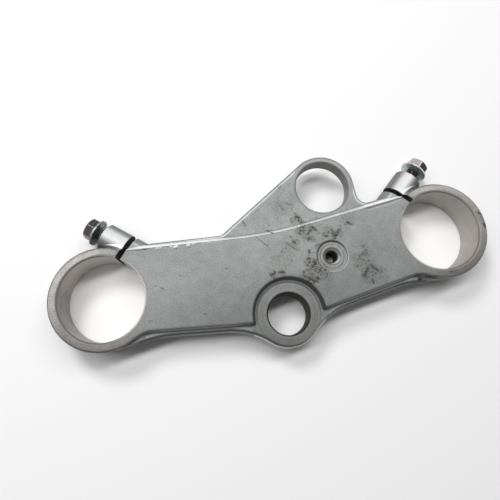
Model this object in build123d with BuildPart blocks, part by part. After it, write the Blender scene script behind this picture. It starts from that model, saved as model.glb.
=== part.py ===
from build123d import *
from math import asin, cos, degrees, radians, sin, sqrt, tan
import os

# Upper fork yoke of a motorcycle, in millimetres.
# The origin is on the steering stem axis at the underside of the stem boss.
# X runs across the bike to the right, Y forward, Z up.

# Fork rings
fork_spacing = 211.0
fork_offset = 31.0
fork_bore = 50.0
ring_wall = 5.4
ring_height = 22.5
fork_mouth = 0.8

# Steering stem boss
stem_bore = 25.0
stem_wall = 6.0
stem_height = 14.0
stem_mouth = 0.8
nut_seat = 38.8
seat_depth = 0.5

# Raised plateau: distances ahead of and behind the line through the fork centres,
# taken at the middle of the yoke and abreast of the forks
step_height = 4.0
plateau_front_mid = 17.9
plateau_front_end = 27.4
plateau_rear_mid = 34.9
plateau_rear_end = 20.3
front_bend_radius = 250.0
scallop_radius = 22.0
scallop_corner = 1.2
step_run = 1.5
front_step_run = 1.9
ring_inset = 0.4

# Lower tier: ledges round the plateau, waist of the rear edge, draft of the outer walls
# and the lip left behind where the two halves of the mould meet
front_ledge = 3.8
rear_ledge = 2.5
waist_inboard = 28.5
waist_radius = 60.0
boss_blend = 45.0
ring_blend = 12.0
wall_run = 0.9
front_wall_run = 0.5
parting_height = 7.0
lip_width = 0.9
lip_height = 1.2

# Lug for the ignition switch
switch_bore = 34.0
switch_wall = 3.5
switch_x = 39.8
switch_forward = 74.2
switch_mouth = 0.6
lug_thickness = 9.5
lug_left = 30.0
lug_blend = 6.0

# Split pinch bosses and their slits
pinch_angle = 49.5
pinch_reach = 33.3
pinch_radius = 8.9
pinch_length = 15.6
pinch_root = 5.0
root_round = 5.0
seat_chamfer = 0.5
slit_width = 3.0
slit_offset = 4.5

# Flange bolts, backed off their seats
bolt_diameter = 8.0
bolt_length = 35.0
bolt_across_flats = 12.0
bolt_head_height = 7.4
bolt_crown = 11.2
crown_angle = 30.0
bolt_flange = 17.0
flange_rim = 1.2
flange_slope = 0.8
bolt_tip = 1.0
bolt_hole = 9.0
thread_gap = 0.05
thread_depth = 17.0
drill_point = 2.4
bolt_slack_left = 4.8
bolt_slack_right = 7.0

# Tapped accessory hole in its spot face
tap_x = 33.7
tap_forward = 28.4
tap_drill = 6.8
tap_depth = 12.0
tap_mouth = 2.0
tap_wall = 5.0
spot_face = 19.0
spot_depth = 1.2

# Underside pockets between ribs
roof_thickness = 5.0
pocket_wall = 6.5
pocket_corner = 3.0
pocket_draft = 3.0
rib_width = 5.0
cross_rib = 27.0
ring_land = 2.0
thread_land = 4.0

# Rounded casting edges
top_round = 0.7

# Heights, radii and directions that follow
half_spacing = fork_spacing / 2
right_fork = Vector(half_spacing, fork_offset)
tier = stem_height
top = tier + step_height
ring_bottom = top - ring_height
ring_middle = (top + ring_bottom) / 2
ring_radius = fork_bore / 2 + ring_wall
boss_radius = stem_bore / 2 + stem_wall
switch_centre = Vector(switch_x, switch_forward)
switch_radius = switch_bore / 2 + switch_wall
front_slope = (plateau_front_end - plateau_front_mid) / half_spacing
rear_slope = (plateau_rear_mid - plateau_rear_end) / half_spacing
tier_front = fork_offset + plateau_front_mid + front_ledge
tier_rear = fork_offset - plateau_rear_mid - rear_ledge
bolt_seat = slit_offset + slit_width / 2 + pinch_length
thread_end = slit_offset - slit_width / 2 - thread_depth
boss_root = thread_end - pinch_root
LEFT = -1
RIGHT = 1


def slit_heading(side):
    """Direction from a fork centre along its slit."""
    return Vector(-side * cos(radians(pinch_angle)), sin(radians(pinch_angle)), 0)


def bolt_section(side, along):
    """Plane through a pinch bolt: X is square to the bolt and level, Y runs along it to its head.

    The origin is on the bolt axis, at a distance along from the line abreast of the fork centre.
    """
    slit = slit_heading(side)
    bolt = Vector(side * sin(radians(pinch_angle)), cos(radians(pinch_angle)), 0)
    fork = Vector(side * half_spacing, fork_offset, ring_middle)
    return Plane(fork + slit * pinch_reach + bolt * along, x_dir=slit, z_dir=slit.cross(bolt))


def touch_point(start, centre, radius, turn):
    """Point where a line from start touches a circle, on its left for a turn of 1 or right for -1."""
    towards = centre - start
    reach = sqrt(towards.length**2 - radius**2)
    heading = towards.normalized().rotate(Axis.Z, turn * degrees(asin(radius / towards.length)))
    return start + heading * reach


def corner_at(sketch, point):
    """Corner of a sketch that lies at a point."""
    return sketch.vertices().sort_by_distance(point)[0]


def corners_at(sketch, x):
    """Corners of a symmetric outline at a distance x either side of the middle."""
    return sketch.vertices().filter_by(lambda corner: abs(abs(corner.X) - x) < 0.01)


def rims(part, diameter):
    """Circular edges of this diameter, from the lowest to the highest."""
    circles = part.edges().filter_by(GeomType.CIRCLE)
    return circles.filter_by(lambda rim: abs(2 * rim.radius - diameter) < 0.01).sort_by(Axis.Z)


def arm_front(x):
    """Point on the straight front edge of an arm, at the level of the lower tier."""
    front = Vector(0, tier_front)
    touch = touch_point(front, right_fork, ring_radius, 1)
    return Vector(x, front.Y + (touch.Y - front.Y) * abs(x) / touch.X)


def casting_outline(front_run, run):
    """Arms tangent to both fork rings, with the stem boss, grown by the runs of the wall draft."""
    front = Vector(0, tier_front + front_run)
    waist_x = half_spacing - waist_inboard
    waist = Vector(waist_x, tier_rear - run + rear_slope * waist_x)
    radius = boss_radius + run
    with BuildSketch() as outline:
        with BuildLine():
            boss = CenterArc((0, 0), radius, 0, 360, mode=Mode.PRIVATE)
            front_edge = Line(front, touch_point(front, right_fork, ring_radius, 1))
            ring_edge = Line(waist, touch_point(waist, right_fork, ring_radius, -1))
            ThreePointArc(front_edge @ 1, (half_spacing + ring_radius, fork_offset), ring_edge @ 1)
            rear_edge = IntersectingLine(waist, (-1, -rear_slope), boss)
            boss_edge = rear_edge @ 1
            RadiusArc(boss_edge, (0, -radius), radius)
            mirror(about=Plane.YZ)
        make_face()
        fillet(corners_at(outline, waist_x), waist_radius)
        fillet(corners_at(outline, boss_edge.X), boss_blend)
        fillet(corners_at(outline, 0).sort_by(Axis.Y)[-1], front_bend_radius)
    return outline.sketch


def plateau_outline(front_end, front_run, run):
    """Raised face between the fork rings, with a scallop round the stem boss."""
    front = Vector(0, fork_offset + plateau_front_mid + front_run)
    rear_middle = fork_offset - plateau_rear_mid - run
    rear_end = Vector(front_end.X, rear_middle + rear_slope * front_end.X)
    radius = scallop_radius - run
    with BuildSketch() as outline:
        with BuildLine():
            scallop = CenterArc((0, 0), radius, 0, 360, mode=Mode.PRIVATE)
            Polyline(front, front_end, rear_end)
            rear_edge = IntersectingLine(rear_end, (-1, -rear_slope), scallop)
            scallop_edge = rear_edge @ 1
            RadiusArc(scallop_edge, (0, radius), -radius)
            mirror(about=Plane.YZ)
        make_face()
        fillet(corners_at(outline, scallop_edge.X), scallop_corner)
        fillet(corners_at(outline, 0).sort_by(Axis.Y)[-1], front_bend_radius)
    return outline.sketch


def end_wall(height, slope):
    """Point where the pocket wall beside a pinch thread meets a line of this height and slope."""
    start = bolt_section(RIGHT, boss_root - thread_land).origin
    heading = slit_heading(RIGHT)
    return start + heading * ((height + slope * start.X - start.Y) / (heading.Y - slope * heading.X))


def pocket_cell(*corners):
    """Underside pocket between ribs, with rounded corners."""
    with BuildSketch() as cell:
        with BuildLine():
            Polyline(*[(corner.X, corner.Y) for corner in corners], close=True)
        make_face()
        fillet(cell.vertices(), pocket_corner)
    return cell.sketch


# One casting: arms, stem boss, fork rings, plateau, switch lug and pinch bosses
with BuildPart() as clamp_body:
    # Lower tier, drafted both ways from the parting line, with a lip along the rear of it
    for height in (0, tier):
        with BuildSketch(Plane.XY.offset(height)):
            add(casting_outline(0, 0))
        with BuildSketch(Plane.XY.offset(parting_height)):
            add(casting_outline(front_wall_run, wall_run))
        loft(ruled=True)
    with BuildSketch(Plane.XY.offset(parting_height - lip_height)):
        add(casting_outline(0, wall_run + lip_width))
        with Locations((0, fork_offset)):
            Rectangle(
                fork_spacing, fork_spacing, align=(Align.CENTER, Align.MAX), mode=Mode.INTERSECT
            )
    extrude(amount=lip_height)

    # Switch lug, level with the lower tier and blended into the front of the arms
    with BuildSketch(Plane.XY.offset(tier - lug_thickness)) as lug:
        left_foot = arm_front(-lug_left)
        right_foot = arm_front(switch_x + switch_radius)
        left_end = arm_front(left_foot.X - 2 * lug_blend)
        right_end = arm_front(right_foot.X + 2 * lug_blend)
        with BuildLine():
            left_edge = Line(left_foot, touch_point(left_foot, switch_centre, switch_radius, 1))
            right_edge = Line((right_foot.X, switch_forward), right_foot)
            ThreePointArc(left_edge @ 1, switch_centre + Vector(0, switch_radius), right_edge @ 0)
            Polyline(right_foot, right_end, (right_end.X, fork_offset))
            Polyline((right_end.X, fork_offset), (left_end.X, fork_offset), left_end, left_foot)
        make_face()
        fillet([corner_at(lug, left_foot), corner_at(lug, right_foot)], lug_blend)
    extrude(amount=lug_thickness)

    # Plateau with sloping step walls, its ends buried in the rings
    base_front = Vector(0, fork_offset + plateau_front_mid + front_step_run)
    base_end = touch_point(base_front, right_fork, ring_radius - ring_inset, 1)
    top_end = Vector(base_end.X, fork_offset + plateau_front_mid + front_slope * base_end.X)
    with BuildSketch(Plane.XY.offset(tier)):
        add(plateau_outline(base_end, front_step_run, step_run))
    with BuildSketch(Plane.XY.offset(top)):
        add(plateau_outline(top_end, 0, 0))
    loft(ruled=True)

    # Fork rings
    with BuildSketch(Plane.XY.offset(ring_bottom)):
        with Locations(right_fork, (-half_spacing, fork_offset)):
            Circle(ring_radius)
    extrude(amount=ring_height)

    # Rear step blended into the rings, and rounded rim of the plateau and ring tops
    step_corners = clamp_body.edges().filter_by_position(Axis.Z, tier + 1, top - 1)
    behind = step_corners.filter_by_position(Axis.Y, tier_rear, fork_offset)
    fillet(
        behind.filter_by(lambda edge: abs(edge.center().X) > half_spacing - ring_radius), ring_blend
    )
    fillet(clamp_body.faces().sort_by(Axis.Z)[-1].outer_wire().edges(), top_round)

    # Pinch bosses, rounded where they end inside the arms
    for side in (LEFT, RIGHT):
        axis_plane = bolt_section(side, 0)
        with BuildSketch(axis_plane) as section:
            with Locations((0, boss_root)):
                Rectangle(pinch_radius, bolt_seat - boss_root, align=Align.MIN)
            fillet(corner_at(section, (pinch_radius, boss_root)), root_round)
            chamfer(corner_at(section, (pinch_radius, bolt_seat)), seat_chamfer)
        revolve(axis=Axis(axis_plane.origin, axis_plane.y_dir))

    # Pockets under the arms and between the cross ribs, round a boss for the accessory hole
    inner = cross_rib + rib_width / 2
    outer = half_spacing - ring_radius - ring_land
    rear_wall = tier_rear + pocket_wall
    front_wall = tier_front - pocket_wall
    rib_rear = fork_offset - rib_width / 2
    rib_front = fork_offset + rib_width / 2
    rear_cell = pocket_cell(
        Vector(inner, rear_wall + rear_slope * inner),
        Vector(outer, rear_wall + rear_slope * outer),
        Vector(outer, rib_rear),
        Vector(inner, rib_rear),
    )
    front_cell = pocket_cell(
        Vector(inner, rib_front),
        end_wall(rib_front, 0),
        end_wall(front_wall, front_slope),
        Vector(inner, front_wall + front_slope * inner),
    )
    with BuildSketch(Plane.XY):
        add([rear_cell, front_cell])
        mirror(about=Plane.YZ)
        with Locations((0, (boss_radius + rib_width + front_wall) / 2)):
            RectangleRounded(
                2 * cross_rib - rib_width, front_wall - boss_radius - rib_width, pocket_corner
            )
    extrude(amount=top - roof_thickness, taper=pocket_draft, mode=Mode.SUBTRACT)
    with BuildSketch(Plane.XY):
        with Locations((tap_x, tap_forward)):
            Circle(tap_drill / 2 + tap_wall)
    extrude(amount=tier)

    # Bores for the forks, the stem with its nut seat and the switch, with chamfered mouths
    with Locations((half_spacing, fork_offset, top), (-half_spacing, fork_offset, top)):
        Hole(fork_bore / 2, depth=ring_height)
    with Locations((0, 0, tier)):
        CounterBoreHole(stem_bore / 2, nut_seat / 2, seat_depth, depth=stem_height)
    with Locations((switch_x, switch_forward, tier)):
        Hole(switch_bore / 2, depth=lug_thickness)
    chamfer(rims(clamp_body, fork_bore), fork_mouth)
    chamfer(rims(clamp_body, switch_bore)[-1], switch_mouth)
    chamfer(rims(clamp_body, stem_bore)[-1], stem_mouth)

    # Slits through the rings and bosses, with bolt holes that are tapped beyond the slit
    for side in (LEFT, RIGHT):
        fork = Vector(side * half_spacing, fork_offset, ring_bottom)
        with BuildSketch(Plane(fork, x_dir=slit_heading(side), z_dir=(0, 0, 1))):
            with Locations((0, -side * slit_offset)):
                Rectangle(pinch_reach + 2 * pinch_radius, slit_width, align=(Align.MIN, Align.CENTER))
        extrude(amount=ring_height, mode=Mode.SUBTRACT)
        axis_plane = bolt_section(side, 0)
        with BuildSketch(axis_plane):
            with BuildLine():
                Polyline(
                    (0, bolt_seat),
                    (bolt_hole / 2, bolt_seat),
                    (bolt_hole / 2, slit_offset),
                    (bolt_diameter / 2 + thread_gap, slit_offset),
                    (bolt_diameter / 2 + thread_gap, thread_end),
                    (0, thread_end - drill_point),
                    close=True,
                )
            make_face()
        revolve(axis=Axis(axis_plane.origin, axis_plane.y_dir), mode=Mode.SUBTRACT)

    # Accessory hole in its spot face
    with Locations((tap_x, tap_forward, top)):
        CounterBoreHole(tap_drill / 2, spot_face / 2, spot_depth, depth=spot_depth + tap_depth)
    chamfer(rims(clamp_body, tap_drill)[-1], tap_mouth)

clamp_body.part.label = "clamp_body"
os.makedirs("parts", exist_ok=True)
export_step(clamp_body.part, "parts/clamp_body.step")

# Flange bolts: a hexagon with a chamfered crown on a coned flange, and a plain shank
for name, side, slack in (("left", LEFT, bolt_slack_left), ("right", RIGHT, bolt_slack_right)):
    under_head = bolt_section(side, bolt_seat + slack)
    bolt_axis = Axis(under_head.origin, under_head.y_dir)
    hexagon = bolt_across_flats / 2
    crown_drop = (bolt_flange - bolt_crown) / 2 * tan(radians(crown_angle))
    with BuildPart() as pinch_bolt:
        with BuildSketch(Plane(under_head.origin, x_dir=under_head.x_dir, z_dir=under_head.y_dir)):
            RegularPolygon(hexagon, 6, major_radius=False)
        extrude(amount=bolt_head_height)
        with BuildSketch(under_head):
            with BuildLine():
                Polyline(
                    (0, 0),
                    (bolt_flange / 2, 0),
                    (bolt_flange / 2, bolt_head_height - crown_drop),
                    (bolt_crown / 2, bolt_head_height),
                    (0, bolt_head_height),
                    close=True,
                )
            make_face()
        revolve(axis=bolt_axis, mode=Mode.INTERSECT)
        with BuildSketch(under_head):
            with BuildLine():
                Polyline(
                    (0, -bolt_length),
                    (bolt_diameter / 2 - bolt_tip, -bolt_length),
                    (bolt_diameter / 2, bolt_tip - bolt_length),
                    (bolt_diameter / 2, 0),
                    (bolt_flange / 2, 0),
                    (bolt_flange / 2, flange_rim),
                    (hexagon, flange_rim + flange_slope),
                    (0, flange_rim + flange_slope),
                    close=True,
                )
            make_face()
        revolve(axis=bolt_axis)
    pinch_bolt.part.label = f"pinch_bolt_{name}"
    export_step(pinch_bolt.part, f"parts/pinch_bolt_{name}.step")
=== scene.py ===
# %% [markdown]
# The object is the upper fork yoke of a motorcycle: one aluminium casting, painted silver and worn, with two
# zinc-plated flange bolts that pinch its fork rings. The casting comes ready from CAD in metres, so this
# lesson keeps it where it is and gives it its paint, its machined faces, its dirt and its light. The bolts
# are modelled again here, because a plain CAD shank has no thread.

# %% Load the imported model
import math

import bmesh
import bpy
from mathutils import Euler, Matrix, Vector


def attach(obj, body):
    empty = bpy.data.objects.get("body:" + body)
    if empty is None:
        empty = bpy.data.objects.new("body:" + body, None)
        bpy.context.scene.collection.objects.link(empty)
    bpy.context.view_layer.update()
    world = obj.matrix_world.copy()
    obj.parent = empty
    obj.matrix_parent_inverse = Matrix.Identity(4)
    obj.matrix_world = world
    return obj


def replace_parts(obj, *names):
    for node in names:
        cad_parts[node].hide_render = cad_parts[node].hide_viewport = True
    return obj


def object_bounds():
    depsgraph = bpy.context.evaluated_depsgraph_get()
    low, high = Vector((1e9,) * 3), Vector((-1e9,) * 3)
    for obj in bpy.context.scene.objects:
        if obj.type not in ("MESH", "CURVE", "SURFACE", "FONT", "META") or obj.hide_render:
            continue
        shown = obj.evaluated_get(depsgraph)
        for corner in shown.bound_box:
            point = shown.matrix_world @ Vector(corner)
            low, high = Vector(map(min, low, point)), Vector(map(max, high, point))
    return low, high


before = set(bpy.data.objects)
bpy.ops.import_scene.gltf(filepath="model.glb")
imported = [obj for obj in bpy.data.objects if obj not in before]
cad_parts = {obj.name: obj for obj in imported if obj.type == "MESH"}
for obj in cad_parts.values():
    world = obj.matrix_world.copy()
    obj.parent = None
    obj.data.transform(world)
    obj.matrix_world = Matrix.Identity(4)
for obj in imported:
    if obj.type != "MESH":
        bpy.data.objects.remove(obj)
cad_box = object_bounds()
MM = 0.001
print("casting box in mm:", [round(v / MM, 1) for v in (*cad_box[0], *cad_box[1])])

# %% [markdown]
# A material is a tree of nodes, and most of the work is adding nodes and joining them up. One small function
# does that: it takes the node's kind, its inputs (a number, or another node's socket to link), and its
# settings, and gives back the outputs. Colours are written as the hex values a painter would read off a
# screen, so a second function turns them into the linear light that the renderer counts in.

# %% Helpers for materials
def add(tree, kind, inputs=None, **settings):
    made = tree.nodes.new("ShaderNode" + kind)
    for name, value in settings.items():
        setattr(made, name, value)
    for name, value in (inputs or {}).items():
        if isinstance(value, bpy.types.NodeSocket):
            tree.links.new(value, made.inputs[name])
        else:
            made.inputs[name].default_value = value
    return made.outputs


def linear(code):
    channels = [int(code[i : i + 2], 16) / 255 for i in (1, 3, 5)]
    return [*((c / 12.92 if c <= 0.04045 else ((c + 0.055) / 1.055) ** 2.4) for c in channels), 1.0]


def new_material(name):
    material = bpy.data.materials.new(name)
    material.use_nodes = True
    material.node_tree.nodes.clear()
    return material, material.node_tree


print("mid grey #808080 in linear light:", round(linear("#808080")[0], 3))

# %% [markdown]
# The casting is sand-cast aluminium under silver paint. Paint lies over the cast skin, so the eye sees a soft
# metallic grey with a fine grain. Where a cutter went over it, in the bores, on the nut seat and on the spot
# face, bare aluminium shows with its turning marks. The axes of the holes are known in millimetres, so
# distances from those axes make the masks, and nothing has to be painted by hand. Both forks are the same, so
# the distance from a fork is measured on mirrored coordinates.

# %% Casting: distances from the axes
casting, tree = new_material("cast_aluminium_silver_paint")
place = add(tree, "TexCoord")
mm = add(tree, "VectorMath", {0: place["Object"], "Scale": 1 / MM}, operation="SCALE")[0]
x, y, z = add(tree, "SeparateXYZ", {0: mm})
sideways, forward, up = add(tree, "SeparateXYZ", {0: place["Normal"]})
mirrored = add(tree, "VectorMath", {0: mm}, operation="ABSOLUTE")[0]
axes = {"fork": (105.5, 31.0, 0), "stem": (0, 0, 0), "switch": (39.8, 74.2, 0), "tap": (33.7, 28.4, 0)}
away = {}
for name, point in axes.items():
    flattened = mirrored if name == "fork" else mm
    flattened = add(tree, "VectorMath", {0: flattened, 1: (1, 1, 0)}, operation="MULTIPLY")[0]
    away[name] = add(tree, "VectorMath", {0: flattened, 1: point}, operation="DISTANCE")["Value"]
print("axes of the casting:", ", ".join(axes))

# %% Casting: machined places
LEDGE, PLATEAU = 14.0, 18.0  # heights in mm of the lower tier and of the plateau on it
ANY_WAY = -1.1  # a limit that faces of every direction pass
cuts = (  # name, hole, reach in mm, below this height, facing up at least this much
    ("fork_bores", "fork", 25.85, PLATEAU + 1, ANY_WAY),
    ("stem_bore", "stem", 13.35, PLATEAU + 1, ANY_WAY),
    ("nut_seat", "stem", 19.45, LEDGE - 0.3, 0.8),
    ("switch_bore", "switch", 17.65, PLATEAU + 1, ANY_WAY),
    ("spot_face", "tap", 9.55, PLATEAU - 0.3, ANY_WAY),
)
cut = {}
machined = 0.0
for name, hole, reach, top, least in cuts:
    near = add(tree, "Math", {0: away[hole], 1: reach}, operation="LESS_THAN")[0]
    low = add(tree, "Math", {0: z, 1: top}, operation="LESS_THAN")[0]
    upward = add(tree, "Math", {0: up, 1: least}, operation="GREATER_THAN")[0]
    cut[name] = add(tree, "Math", {0: near, 1: low}, operation="MULTIPLY")[0]
    cut[name] = add(tree, "Math", {0: cut[name], 1: upward}, operation="MULTIPLY")[0]
    machined = add(tree, "Math", {0: machined, 1: cut[name]}, operation="MAXIMUM")[0]
print("machined places:", ", ".join(cut))

# %% [markdown]
# Paint on a rough casting is never one grey. Three noises of different sizes vary it: wide patches of 40 mm
# where it was sprayed thicker, a mottle of 6 mm, and the grain of the sand. The real grain is about 0.3 mm,
# and it is drawn at 0.9 mm so that it shows from this distance. The ring faces were skimmed before painting,
# so they are warmer and shinier than the rest.

# %% Casting: three noises and the ring faces
WIDE, MOTTLE, GRAIN = 40, 6, 0.9  # mm
wide = add(tree, "TexNoise", {"Vector": mm, "Scale": 1 / WIDE, "Detail": 2.0})[0]
mottle = add(tree, "TexNoise", {"Vector": mm, "Scale": 1 / MOTTLE, "Detail": 3.0})[0]
grain = add(tree, "TexNoise", {"Vector": mm, "Scale": 1 / GRAIN, "Detail": 3.0})[0]
shade = add(tree, "Math", {0: mottle, 1: 0.8, 2: wide}, operation="MULTIPLY_ADD")[0]
shade = add(tree, "Math", {0: grain, 1: 1.5, 2: shade}, operation="MULTIPLY_ADD")[0]
shade = add(tree, "MapRange", {0: shade, 1: 1.2, 2: 2.1})[0]
near_ring = add(tree, "MapRange", {0: away["fork"], 1: 33.0, 2: 30.0})[0]
outboard = add(tree, "SeparateXYZ", {0: mirrored})[0]
outboard = add(tree, "MapRange", {0: outboard, 1: 86.0, 2: 104.0})[0]
near_ring = add(tree, "Math", {0: near_ring, 1: outboard}, operation="MULTIPLY")[0]
print("paint noises in mm:", WIDE, MOTTLE, GRAIN)

# %% [markdown]
# The greys also change from place to place. Towards the rear they are darker: painted shade, as the light
# from ahead falls off. The tip of the switch lug and the front of the right ring are painted paler: painted
# light, where the light falls on them most. Here and there a grain of sand left a dark pit in the paint. Each
# change is one ramp along a coordinate that mixes in another grey.

# %% Casting: paint greys
paint = add(tree, "Mix", {0: shade, 6: linear("#606362"), 7: linear("#808381")}, data_type="RGBA")[2]
skimmed = add(tree, "Mix", {0: shade, 6: linear("#514f4d"), 7: linear("#888582")}, data_type="RGBA")[2]
# Painted shade: the paint darkens towards the rear, away from the light.
painted_rear_shade = add(tree, "MapRange", {0: y, 1: 30.0, 2: 2.0, 4: 0.2})[0]
paint = add(tree, "Mix", {0: painted_rear_shade, 6: paint, 7: linear("#393b3a")}, data_type="RGBA")[2]
# Painted shade: the skimmed ring faces darken towards the rear too.
painted_rear_shade_ring = add(tree, "MapRange", {0: y, 1: 27.0, 2: 2.0, 4: 0.47})[0]
skimmed = add(tree, "Mix", {0: painted_rear_shade_ring, 6: skimmed, 7: linear("#393735")}, data_type="RGBA")[2]
# Painted light: the front of the right ring is painted paler, where the light falls on it.
painted_light_right_ring = add(tree, "MapRange", {0: y, 1: 40.0, 2: 58.0, 4: 0.3})[0]
right_hand = add(tree, "Math", {0: x, 1: 0.0}, operation="GREATER_THAN")[0]
painted_light_right_ring = add(tree, "Math", {0: painted_light_right_ring, 1: right_hand}, operation="MULTIPLY")[0]
skimmed = add(tree, "Mix", {0: painted_light_right_ring, 6: skimmed, 7: linear("#a3a19f")}, data_type="RGBA")[2]
# Painted light: the tip of the switch lug is painted paler, where the light falls on it.
painted_light_lug_tip = add(tree, "MapRange", {0: y, 1: 72.0, 2: 90.0, 4: 0.4})[0]
paint = add(tree, "Mix", {0: painted_light_lug_tip, 6: paint, 7: linear("#8d908e")}, data_type="RGBA")[2]
paint = add(tree, "Mix", {0: near_ring, 6: paint, 7: skimmed}, data_type="RGBA")[2]
pits = add(tree, "TexNoise", {"Vector": mm, "Scale": 1 / 0.8, "Detail": 1.0})[0]
pits = add(tree, "MapRange", {0: pits, 1: 0.70, 2: 0.78, 4: 0.55})[0]
paint = add(tree, "Mix", {0: pits, 6: paint, 7: linear("#3a3b3a")}, data_type="RGBA")[2]
print("paint:", len(tree.nodes), "nodes so far")

# %% [markdown]
# The pinch bosses are round stubs that run at an angle into the arms, and a slit through each lets its bolt
# close the ring. Their brightness is painted: a painted highlight along the crown and painted shade on the
# lee side. Two distances find every place on a boss: one across it, along the slit, and one along the bolt,
# counted from the slit. They are measured on the mirrored coordinates, so one mask serves both sides.

# %% Casting: pinch boss masks
PINCH = math.radians(49.5)
BOSS_REACH, BOSS_HEIGHT, SLIT_OFFSET = 33.3, 6.75, 4.5  # mm from fork axis, from the base, along the bolt
slit = Vector((-math.cos(PINCH), math.sin(PINCH), 0))
bolt_line = Vector((math.sin(PINCH), math.cos(PINCH), 0))
boss_middle = Vector((*axes["fork"][:2], BOSS_HEIGHT)) + slit * BOSS_REACH
slit_middle = boss_middle.dot(bolt_line) + SLIT_OFFSET
across = add(tree, "VectorMath", {0: mirrored, 1: slit}, operation="DOT_PRODUCT")["Value"]
across = add(tree, "Math", {0: across, 1: boss_middle.dot(slit)}, operation="SUBTRACT")[0]
past_slit = add(tree, "VectorMath", {0: mirrored, 1: bolt_line}, operation="DOT_PRODUCT")["Value"]
past_slit = add(tree, "Math", {0: past_slit, 1: slit_middle}, operation="SUBTRACT")[0]
height = add(tree, "Math", {0: z, 1: BOSS_HEIGHT}, operation="SUBTRACT")[0]
boss = add(tree, "CombineXYZ", {0: across, 1: height})[0]
boss = add(tree, "VectorMath", {0: boss}, operation="LENGTH")["Value"]
boss = add(tree, "MapRange", {0: boss, 1: 9.5, 2: 9.0})[0]
outside = add(tree, "MapRange", {0: away["fork"], 1: 29.8, 2: 30.4})[0]
clear = add(tree, "MapRange", {0: y, 1: 53.0, 2: 56.0})[0]
for mask in (outside, clear):
    boss = add(tree, "Math", {0: boss, 1: mask}, operation="MULTIPLY")[0]
print("pinch boss axis at", [round(v, 1) for v in boss_middle])

# %% [markdown]
# A boss is painted bright along its crown, a painted highlight, and dark on its lee side, painted shade. The
# end on the arm is greyer than the free end. Where the free end meets its ring, a pale painted highlight in
# the shape of a web tapers off from the slit, with painted shade in the valley under it, and the slit itself
# is painted black, as the shade in it.

# %% Casting: pinch boss finish, with painted highlight and shade
# Painted highlight along the crown of a boss, and painted shade on its lee side below.
crown = add(tree, "MapRange", {0: up, 1: 0.6, 2: 1.0}, interpolation_type="SMOOTHSTEP")[0]
crown = add(tree, "Math", {0: grain, 1: 0.3, 2: crown}, operation="MULTIPLY_ADD")[0]
crown = add(tree, "Math", {0: crown, 1: 0.15}, operation="SUBTRACT", use_clamp=True)[0]
boss_highlight_and_shade = add(tree, "Mix", {0: crown, 6: linear("#6e706f"), 7: linear("#d0d2d1")}, data_type="RGBA")[2]
lee_shade = add(tree, "MapRange", {0: forward, 1: 0.0, 2: -0.3, 4: 0.8})[0]
boss_highlight_and_shade = add(tree, "Mix", {0: lee_shade, 6: boss_highlight_and_shade, 7: linear("#363835")}, data_type="RGBA")[2]
paint = add(tree, "Mix", {0: boss, 6: paint, 7: boss_highlight_and_shade}, data_type="RGBA")[2]
free_end = add(tree, "Math", {0: past_slit, 1: 0.0}, operation="GREATER_THAN")[0]
free_end = add(tree, "Math", {0: free_end, 1: boss}, operation="MULTIPLY")[0]
arm_end = add(tree, "Math", {0: boss, 1: free_end}, operation="SUBTRACT")[0]
arm_end = add(tree, "Math", {0: arm_end, 1: 0.75}, operation="MULTIPLY")[0]
paint = add(tree, "Mix", {0: arm_end, 6: paint, 7: linear("#7d7f7d")}, data_type="RGBA")[2]
print("pinch bosses:", len(tree.nodes), "nodes so far")

# %% Casting: painted highlight of the web, painted shade in the valley and the slit
WEB_RADIUS, WEB_END, WEB_HALF = 32.9, 14.0, 1.5  # mm: from the fork axis, length past the slit, half width
SLIT_HALF = 1.55
# Painted shade in the valley under the web.
valley_shade = add(tree, "MapRange", {0: away["fork"], 1: 32.4, 2: 31.6, 4: 0.6})[0]
valley_shade = add(tree, "Math", {0: valley_shade, 1: free_end}, operation="MULTIPLY")[0]
paint = add(tree, "Mix", {0: valley_shade, 6: paint, 7: linear("#5a5b59")}, data_type="RGBA")[2]
# Painted highlight: a pale web where the free end of a boss meets its ring.
web_highlight = add(tree, "MapRange", {0: past_slit, 1: 1.5, 2: WEB_END, 3: WEB_HALF, 4: 0.0})[0]
from_web = add(tree, "Math", {0: away["fork"], 1: WEB_RADIUS}, operation="SUBTRACT")[0]
from_web = add(tree, "Math", {0: from_web}, operation="ABSOLUTE")[0]
web_highlight = add(tree, "Math", {0: web_highlight, 1: from_web}, operation="SUBTRACT")[0]
web_highlight = add(tree, "MapRange", {0: web_highlight, 1: 0.0, 2: 0.4})[0]
web_highlight = add(tree, "Math", {0: web_highlight, 1: free_end}, operation="MULTIPLY")[0]
paint = add(tree, "Mix", {0: web_highlight, 6: paint, 7: linear("#eeefee")}, data_type="RGBA")[2]
# Painted shade: the slit is marked here and painted black together with the other dark places.
from_slit = add(tree, "Math", {0: past_slit}, operation="ABSOLUTE")[0]
slit_shade = add(tree, "Math", {0: from_slit, 1: SLIT_HALF}, operation="LESS_THAN")[0]
off_ring_axis = add(tree, "Math", {0: across, 1: -9.0}, operation="GREATER_THAN")[0]
slit_shade = add(tree, "Math", {0: slit_shade, 1: off_ring_axis}, operation="MULTIPLY")[0]
print("slit drawn", 2 * SLIT_HALF, "mm wide")

# %% [markdown]
# Turned aluminium is neutral grey, with fine rings where the tool passed. On a flat face the rings go round
# the axis, and in a bore they lie one above another, so the pattern runs along the radius there and along the
# height here. The real feed is about 0.2 mm; it is drawn at 0.8 mm to show.

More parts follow.
